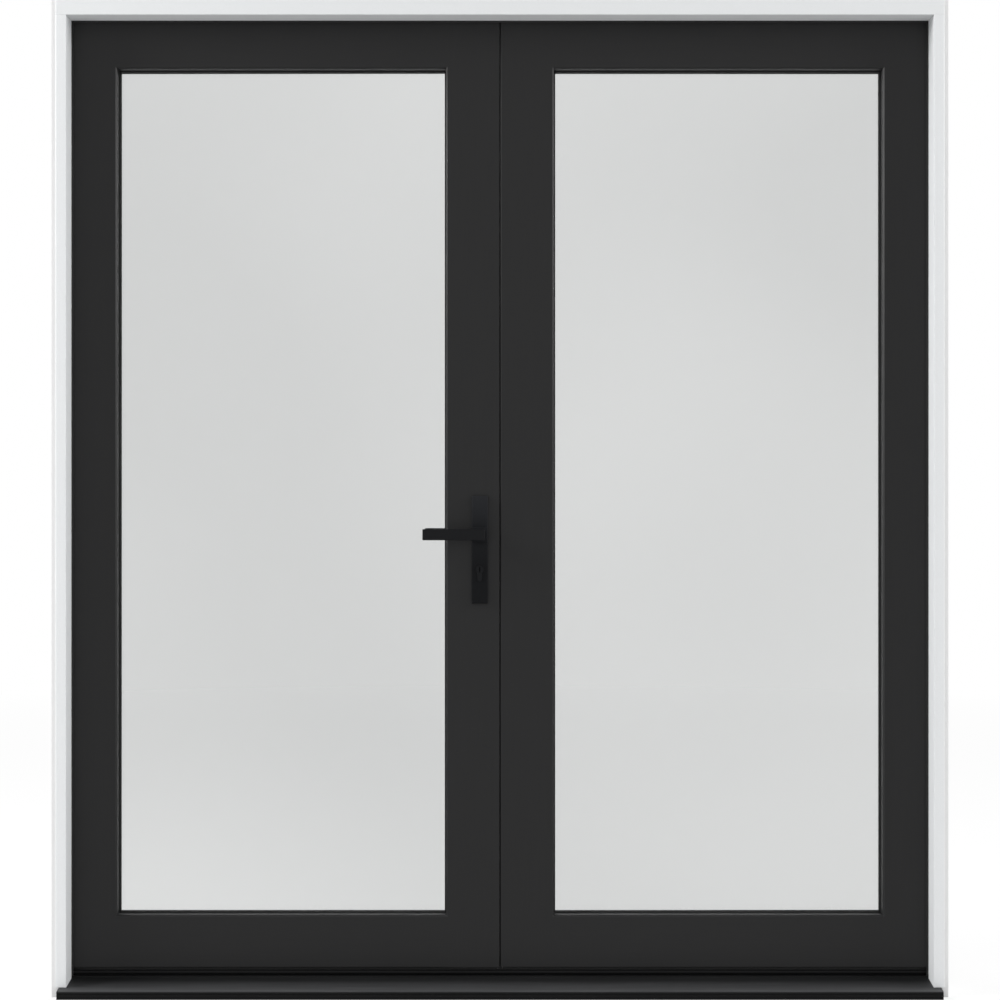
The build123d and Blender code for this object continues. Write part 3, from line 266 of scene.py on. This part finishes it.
def pane_glass(name, clearness):
    """Clear glass with a painted reflection: a faint soft band running across it at a slant, where
    it lets more through.

    Only the face towards the viewer shines. The light isn't bent on its way in, so a shine on
    the back faces would turn the panes black when they are seen at a slant.
    """
    material = bpy.data.materials.new(name)
    material.use_nodes = True
    nodes, links = material.node_tree.nodes, material.node_tree.links
    nodes.remove(nodes["Principled BSDF"])
    place = nodes.new("ShaderNodeTexCoord")
    slant = nodes.new("ShaderNodeMapping")
    slant.inputs["Rotation"].default_value = (0, BAND_SLANT, 0)
    slant.inputs["Scale"].default_value = (BAND_SCALE, BAND_SCALE, BAND_SCALE)
    noise = nodes.new("ShaderNodeTexNoise")
    noise.inputs["Scale"].default_value = 1.3
    noise.inputs["Detail"].default_value = 1.0
    # Painted reflection: the clearness rises and falls along the slanted band
    tint = nodes.new("ShaderNodeValToRGB")
    low, high = clearness - BAND_DEPTH, clearness + BAND_DEPTH
    tint.color_ramp.elements[0].position = 0.35
    tint.color_ramp.elements[1].position = 0.65
    tint.color_ramp.elements[0].color = (low, low * 1.003, low * 1.002, 1)
    tint.color_ramp.elements[1].color = (high, high * 1.003, high * 1.002, 1)
    through = nodes.new("ShaderNodeBsdfTransparent")
    shine = nodes.new("ShaderNodeBsdfGlossy")
    shine.inputs["Roughness"].default_value = 0.02
    edge = nodes.new("ShaderNodeFresnel")
    edge.inputs["IOR"].default_value = 1.45
    side = nodes.new("ShaderNodeNewGeometry")
    front = nodes.new("ShaderNodeMath")
    front.operation = "SUBTRACT"
    front.use_clamp = True
    both = nodes.new("ShaderNodeMixShader")
    links.new(place.outputs["Object"], slant.inputs["Vector"])
    links.new(slant.outputs["Vector"], noise.inputs["Vector"])
    links.new(noise.outputs["Fac"], tint.inputs["Fac"])
    links.new(tint.outputs["Color"], through.inputs["Color"])
    links.new(edge.outputs["Fac"], front.inputs[0])
    links.new(side.outputs["Backfacing"], front.inputs[1])
    links.new(front.outputs["Value"], both.inputs["Fac"])
    links.new(through.outputs["BSDF"], both.inputs[1])
    links.new(shine.outputs["BSDF"], both.inputs[2])
    links.new(both.outputs["Shader"], nodes["Material Output"].inputs["Surface"])
    return material


# Shaping

def only(piece):
    """Select and activate one piece alone."""
    bpy.ops.object.select_all(action="DESELECT")
    piece.select_set(True)
    bpy.context.view_layer.objects.active = piece


def paint(piece, finish_name):
    """Give a piece one finish and no other."""
    piece.data.materials.clear()
    piece.data.materials.append(finish(finish_name))


def body_and_slot(node):
    """The body that a CAD node rides on and the material slot it has."""
    record = frame["record"]
    body = next(b for b, names in record["behaviour"]["bodies"].items() if node in names)
    slot = next(s["material_slot"] for s in record["subparts"] if s["node"] == node)
    return body, slot


def stand_for(piece, node, finish_name):
    """Give a piece its finish, and let it take a CAD node's place."""
    body, slot = body_and_slot(node)
    paint(piece, finish_name)
    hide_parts(node)
    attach(piece, body)


def is_joint_edge(edge, vertices, joint_planes, opening):
    """Whether an edge lies where a rail meets a stile, above or below the glass."""
    ends = [vertices[i].co for i in edge.vertices]
    height = (ends[0].z + ends[1].z) / 2
    if opening[0] - RAIL_SLACK < height < opening[1] + RAIL_SLACK:
        return False
    return any(all(abs(end.x - plane) < SAME_PLANE for end in ends) for plane in joint_planes)


def softened(node, finish_name, width, segments=2, joint_planes=(), opening=(0, 0)):
    """A copy of a CAD node with small rounded edges, in the node's place."""
    source = frame["nodes"][node]
    piece = bpy.data.objects.new(node + "_finished", source.data.copy())
    bpy.context.scene.collection.objects.link(piece)
    only(piece)
    bpy.ops.object.mode_set(mode="EDIT")
    bpy.ops.mesh.select_all(action="SELECT")
    bpy.ops.mesh.remove_doubles(threshold=WELD_REACH)
    bpy.ops.mesh.dissolve_limited(angle_limit=FLAT_ANGLE)
    bpy.ops.object.mode_set(mode="OBJECT")
    rounding = piece.modifiers.new("Rounded edges", "BEVEL")
    rounding.width = width
    rounding.segments = segments
    rounding.limit_method = "ANGLE"
    rounding.angle_limit = SHARP_ANGLE
    rounding.use_clamp_overlap = True
    if joint_planes:
        keep_joints_sharp(piece, joint_planes, opening)
        rounding.limit_method = "WEIGHT"
    bpy.ops.object.modifier_apply(modifier=rounding.name)
    bpy.ops.object.shade_smooth_by_angle(angle=SMOOTH_ANGLE)
    flatten = piece.modifiers.new("Flat faces", "WEIGHTED_NORMAL")
    flatten.keep_sharp = True
    bpy.ops.object.modifier_apply(modifier=flatten.name)
    stand_for(piece, node, finish_name)


def keep_joints_sharp(piece, joint_planes, opening):
    """Give every sharp edge its rounding weight, apart from the joints of the wood."""
    mesh = piece.data
    weights = mesh.attributes.new("bevel_weight_edge", "FLOAT", "EDGE")
    normals = {}
    for face in mesh.polygons:
        for key in face.edge_keys:
            normals.setdefault(key, []).append(face.normal)
    for edge in mesh.edges:
        sides = normals[edge.key]
        sharp = len(sides) == 2 and sides[0].angle(sides[1]) > SHARP_ANGLE
        if sharp and not is_joint_edge(edge, mesh.vertices, joint_planes, opening):
            weights.data[edge.index].value = 1.0


def bar(name, low, high):
    """A box between two corners, with its own origin at the frame's."""
    low, high = Vector(low), Vector(high)
    bpy.ops.object.select_all(action="DESELECT")
    bpy.ops.mesh.primitive_cube_add(size=1, location=(low + high) / 2)
    piece = bpy.context.object
    piece.name = name
    piece.scale = high - low
    bpy.ops.object.transform_apply(location=True, rotation=True, scale=True)
    return piece


def dress(names, finish_name):
    """Give CAD nodes whose shape is right a finish of their own."""
    for name in names:
        paint(frame["nodes"][name], finish_name)


# Operators

class DOORS_OT_frame(bpy.types.Operator):
    """Round and paint the jambs, the head and the stops"""
    bl_idname = "doors.frame"
    bl_label = "Jambs, head and stops"

    def execute(self, context):
        width = context.scene.door_sizes.paint_edge
        for side in SIDES:
            softened(side + "_jamb", "jamb_paint_upright", width)
        softened("head_jamb", "jamb_paint_level", width)
        softened("frame_stops", "jamb_paint_upright", width / 2)
        return {"FINISHED"}


class DOORS_OT_covers(bpy.types.Operator):
    """Round and coat the metal covers outside"""
    bl_idname = "doors.covers"
    bl_label = "Covers"

    def execute(self, context):
        width = context.scene.door_sizes.metal_edge
        softened("side_cladding", "cover_coat", width)
        softened("head_cladding", "cover_coat", width)
        return {"FINISHED"}


class DOORS_OT_sill(bpy.types.Operator):
    """Finish the sill, its core and the threshold cap"""
    bl_idname = "doors.sill"
    bl_label = "Sill"

    def execute(self, context):
        width = context.scene.door_sizes.metal_edge
        softened("sill", "sill_anodised_painted_light", width / 2)
        softened("threshold_cap", "cap_anodised_painted_shade", width)
        dress(["sill_core"], "core_wood")
        return {"FINISHED"}


class DOORS_OT_seals(bpy.types.Operator):
    """Give every weatherstrip, gasket and sweep its rubber, and add the soft meeting seal"""
    bl_idname = "doors.seals"
    bl_label = "Seals"

    def execute(self, context):
        names = ["weatherstrips"]
        for side in SIDES:
            names += [side + "_glazing_gasket", side + "_door_sweep"]
        dress(names, "seal_rubber")
        self.add_meeting_seal()
        return {"FINISHED"}

    def add_meeting_seal(self):
        """A soft seal that closes the meeting gap, with a pad below between the sweeps."""
        low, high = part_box("meeting_seal")
        left_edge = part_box("left_lock_stile")[1].x
        right_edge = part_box("right_lock_stile")[0].x
        middle = (low.y + high.y) / 2
        base = bar("meeting_seal_soft", (right_edge, low.y, low.z), high)
        lip = bar("lip", (left_edge + TOUCH, middle - LIP_THICKNESS / 2, low.z),
                  (right_edge + LIP_THICKNESS, middle + LIP_THICKNESS / 2, high.z))
        sweep_left, sweep_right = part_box("left_door_sweep"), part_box("right_door_sweep")
        cap_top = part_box("threshold_cap")[1].z
        pad = bar("pad", (sweep_left[1].x + PAD_GAP, sweep_left[0].y, cap_top + PAD_GAP),
                  (sweep_right[0].x - PAD_GAP, sweep_left[1].y, low.z))
        only(base)
        lip.select_set(True)
        pad.select_set(True)
        bpy.ops.object.join()
        stand_for(base, "meeting_seal", "seal_rubber")


class DOORS_OT_leaves(bpy.types.Operator):
    """Round and paint the stiles, rails and beads of both leaves"""
    bl_idname = "doors.leaves"
    bl_label = "Leaves"

    def execute(self, context):
        width = context.scene.door_sizes.paint_edge
        for side in SIDES:
            low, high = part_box(side + "_top_rail")
            opening = (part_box(side + "_bottom_rail")[1].z, low.z)
            for name in LEAF_PIECES:
                grain = "level" if name.endswith("rail") else "upright"
                softened(f"{side}_{name}", "leaf_paint_" + grain, width,
                         joint_planes=(low.x, high.x), opening=opening)
            softened(side + "_glazing_beads", "leaf_paint_upright", width / 2)
        return {"FINISHED"}


class DOORS_OT_glazing(bpy.types.Operator):
    """Fit the panes, spacers and setting blocks with their materials"""
    bl_idname = "doors.glazing"
    bl_label = "Glazing"

    def execute(self, context):
        for side in SIDES:
            dress([side + "_glass_panes"], "pane_glass")
            dress([side + "_glass_spacer"], "spacer_bar")
            dress([side + "_setting_blocks"], "block_plastic")
        return {"FINISHED"}


class DOORS_OT_hinges(bpy.types.Operator):
    """Round and coat the hinge plates, and finish the pins and screws"""
    bl_idname = "doors.hinges"
    bl_label = "Hinges"

    def execute(self, context):
        width = context.scene.door_sizes.metal_edge
        plates = ["hinge_frame_plates", "hinge_pins"] + [s + "_hinge_leaf_plates" for s in SIDES]
        for name in plates:
            softened(name, "handle_coat", width)
        dress(["hinge_frame_screws"] + [s + "_leaf_screws" for s in SIDES], "screw_steel")
        return {"FINISHED"}


class DOORS_OT_handles(bpy.types.Operator):
    """Round and coat the levers, their plates and the thumb turn"""
    bl_idname = "doors.handles"
    bl_label = "Handles"

    def execute(self, context):
        sizes = context.scene.door_sizes
        for name in ("lever_outside", "lever_inside"):
            softened(name, "handle_coat", sizes.lever_edge, 3)
        for name in ("handle_plate_outside", "handle_plate_inside"):
            softened(name, "plate_coat_painted_light", sizes.metal_edge)
        for name in ("thumb_turn", "key_cylinder"):
            softened(name, "handle_coat", sizes.metal_edge)
        dress(["handle_plate_screws", "key_plug"], "handle_coat")
        dress(["cylinder_cam"], "plug_brass")
        return {"FINISHED"}


class DOORS_OT_lock(bpy.types.Operator):
    """Finish the lock, its bolts, the strike and the keeps"""
    bl_idname = "doors.lock"
    bl_label = "Lock"

    def execute(self, context):
        dress(["lock_case", "lock_faceplate", "lock_hub", "spindle", "latch_bolt", "deadbolt",
               "top_shoot_bolt", "bottom_shoot_bolt", "strike_plate", "flush_bolt_plates",
               "top_flush_bolt", "bottom_flush_bolt", "bolt_keeps"], "lock_steel")
        return {"FINISHED"}


class DOORS_OT_stage(bpy.types.Operator):
    """Add the floor, the lights, the background and the camera"""
    bl_idname = "doors.stage"
    bl_label = "Stage"

    def execute(self, context):
        self.add_floor()
        self.add_background()
        self.add_lamp("key_light", (-5.3, -0.9, 3.4), 390)
        self.add_lamp("fill_light", (5.3, -0.9, 3.0), 245)
        self.add_lamp("room_light", (0.5, 4.5, 4.6), 40)
        self.add_camera()
        context.scene.view_settings.view_transform = "Standard"
        return {"FINISHED"}

    def add_floor(self):
        bpy.ops.mesh.primitive_plane_add(size=FLOOR_SIZE, location=(0, 0, 0))
        floor = bpy.context.object
        floor.name = "floor"
        bpy.ops.object.transform_apply(location=True)
        floor.data.materials.append(self.floor_material())

    def floor_material(self):
        """Paint that is pale where it throws light back, and lifted to white where it is seen.

        The seen floor keeps part of its own shading, so the doors' shadow still shows on it.
        It fades into the white background with distance, so that no horizon shows.
        """
        material = bpy.data.materials.new("floor_paint")
        material.use_nodes = True
        nodes, links = material.node_tree.nodes, material.node_tree.links
        shader = nodes["Principled BSDF"]
        shader.inputs["Roughness"].default_value = 0.9
        shader.inputs["Specular IOR Level"].default_value = 0.0
        shader.inputs["Emission Color"].default_value = (1, 1, 1, 1)
        seen = self.seen_rays(nodes, links)
        place = nodes.new("ShaderNodeTexCoord")
        distance = nodes.new("ShaderNodeVectorMath")
        distance.operation = "LENGTH"
        links.new(place.outputs["Object"], distance.inputs[0])
        values = {"Base Color": (0.6, 0.16, 0.0), "Emission Strength": (0.0, 0.81, 1.0)}
        for socket, (unseen_value, near_value, far_value) in values.items():
            fade = nodes.new("ShaderNodeMapRange")
            fade.inputs["From Min"].default_value = FLOOR_FADE[0]
            fade.inputs["From Max"].default_value = FLOOR_FADE[1]
            fade.inputs["To Min"].default_value = near_value
            fade.inputs["To Max"].default_value = far_value
            links.new(distance.outputs["Value"], fade.inputs["Value"])
            level = nodes.new("ShaderNodeMapRange")
            level.inputs["To Min"].default_value = unseen_value
            links.new(fade.outputs["Result"], level.inputs["To Max"])
            links.new(seen, level.inputs["Value"])
            links.new(level.outputs["Result"], shader.inputs[socket])
        return material

    def seen_rays(self, nodes, links):
        """One where a surface is seen, reflected or looked at through glass, else zero."""
        path = nodes.new("ShaderNodeLightPath")
        direct = nodes.new("ShaderNodeMath")
        direct.operation = "MAXIMUM"
        any_way = nodes.new("ShaderNodeMath")
        any_way.operation = "MAXIMUM"
        links.new(path.outputs["Is Camera Ray"], direct.inputs[0])
        links.new(path.outputs["Is Transmission Ray"], direct.inputs[1])
        links.new(direct.outputs["Value"], any_way.inputs[0])
        links.new(path.outputs["Is Glossy Ray"], any_way.inputs[1])
        return any_way.outputs["Value"]

    def add_background(self):
        """A world that is white where it is seen and softer where it lights."""
        world = bpy.context.scene.world or bpy.data.worlds.new("studio")
        bpy.context.scene.world = world
        world.use_nodes = True
        nodes, links = world.node_tree.nodes, world.node_tree.links
        shade = nodes["Background"]
        shade.inputs["Color"].default_value = (1, 1, 1, 1)
        strength = nodes.new("ShaderNodeMapRange")
        strength.inputs["To Min"].default_value = WORLD_LIGHT
        strength.inputs["To Max"].default_value = 1.0
        links.new(self.seen_rays(nodes, links), strength.inputs["Value"])
        links.new(strength.outputs["Result"], shade.inputs["Strength"])

    def add_lamp(self, name, place, power):
        """A square lamp that faces the middle of the doors."""
        data = bpy.data.lights.new(name, "AREA")
        data.shape = "SQUARE"
        data.size = LAMP_SIZE
        data.energy = power
        lamp = bpy.data.objects.new(name, data)
        lamp.location = place
        aim = Vector(LAMP_TARGET) - Vector(place)
        lamp.rotation_euler = aim.to_track_quat("-Z", "Y").to_euler()
        bpy.context.scene.collection.objects.link(lamp)

    def add_camera(self):
        data = bpy.data.cameras.new("camera")
        data.lens = CAMERA_LENS
        data.sensor_width = SENSOR_WIDTH
        camera = bpy.data.objects.new("camera", data)
        camera.location = CAMERA_PLACE
        camera.rotation_euler = (math.radians(90), 0, 0)
        bpy.context.scene.collection.objects.link(camera)
        bpy.context.scene.camera = camera


OPERATORS = (DOORS_OT_stage, DOORS_OT_frame, DOORS_OT_covers, DOORS_OT_sill, DOORS_OT_seals,
             DOORS_OT_leaves, DOORS_OT_glazing, DOORS_OT_hinges, DOORS_OT_handles, DOORS_OT_lock)


class DOORS_PT_panel(bpy.types.Panel):
    """Lists the sizes, the colours and each step of the doors"""
    bl_idname = "DOORS_PT_panel"
    bl_label = "French doors"
    bl_space_type = "VIEW_3D"
    bl_region_type = "UI"
    bl_category = "Doors"

    def draw(self, context):
        for group in (context.scene.door_colours, context.scene.door_sizes):
            for name in group.bl_rna.properties.keys():
                if name not in ("rna_type", "name"):
                    self.layout.prop(group, name)
        for operator in OPERATORS:
            self.layout.operator(operator.bl_idname)


CLASSES = (DoorColours, DoorSizes) + OPERATORS + (DOORS_PT_panel,)


def register():
    for cls in CLASSES:
        bpy.utils.register_class(cls)
    bpy.types.Scene.door_colours = bpy.props.PointerProperty(type=DoorColours)
    bpy.types.Scene.door_sizes = bpy.props.PointerProperty(type=DoorSizes)


def unregister():
    del bpy.types.Scene.door_sizes
    del bpy.types.Scene.door_colours
    for cls in reversed(CLASSES):
        bpy.utils.unregister_class(cls)


def main():
    register()
    for operator in OPERATORS:
        group, name = operator.bl_idname.split(".")
        getattr(getattr(bpy.ops, group), name)()


if __name__ == "__main__":
    main()
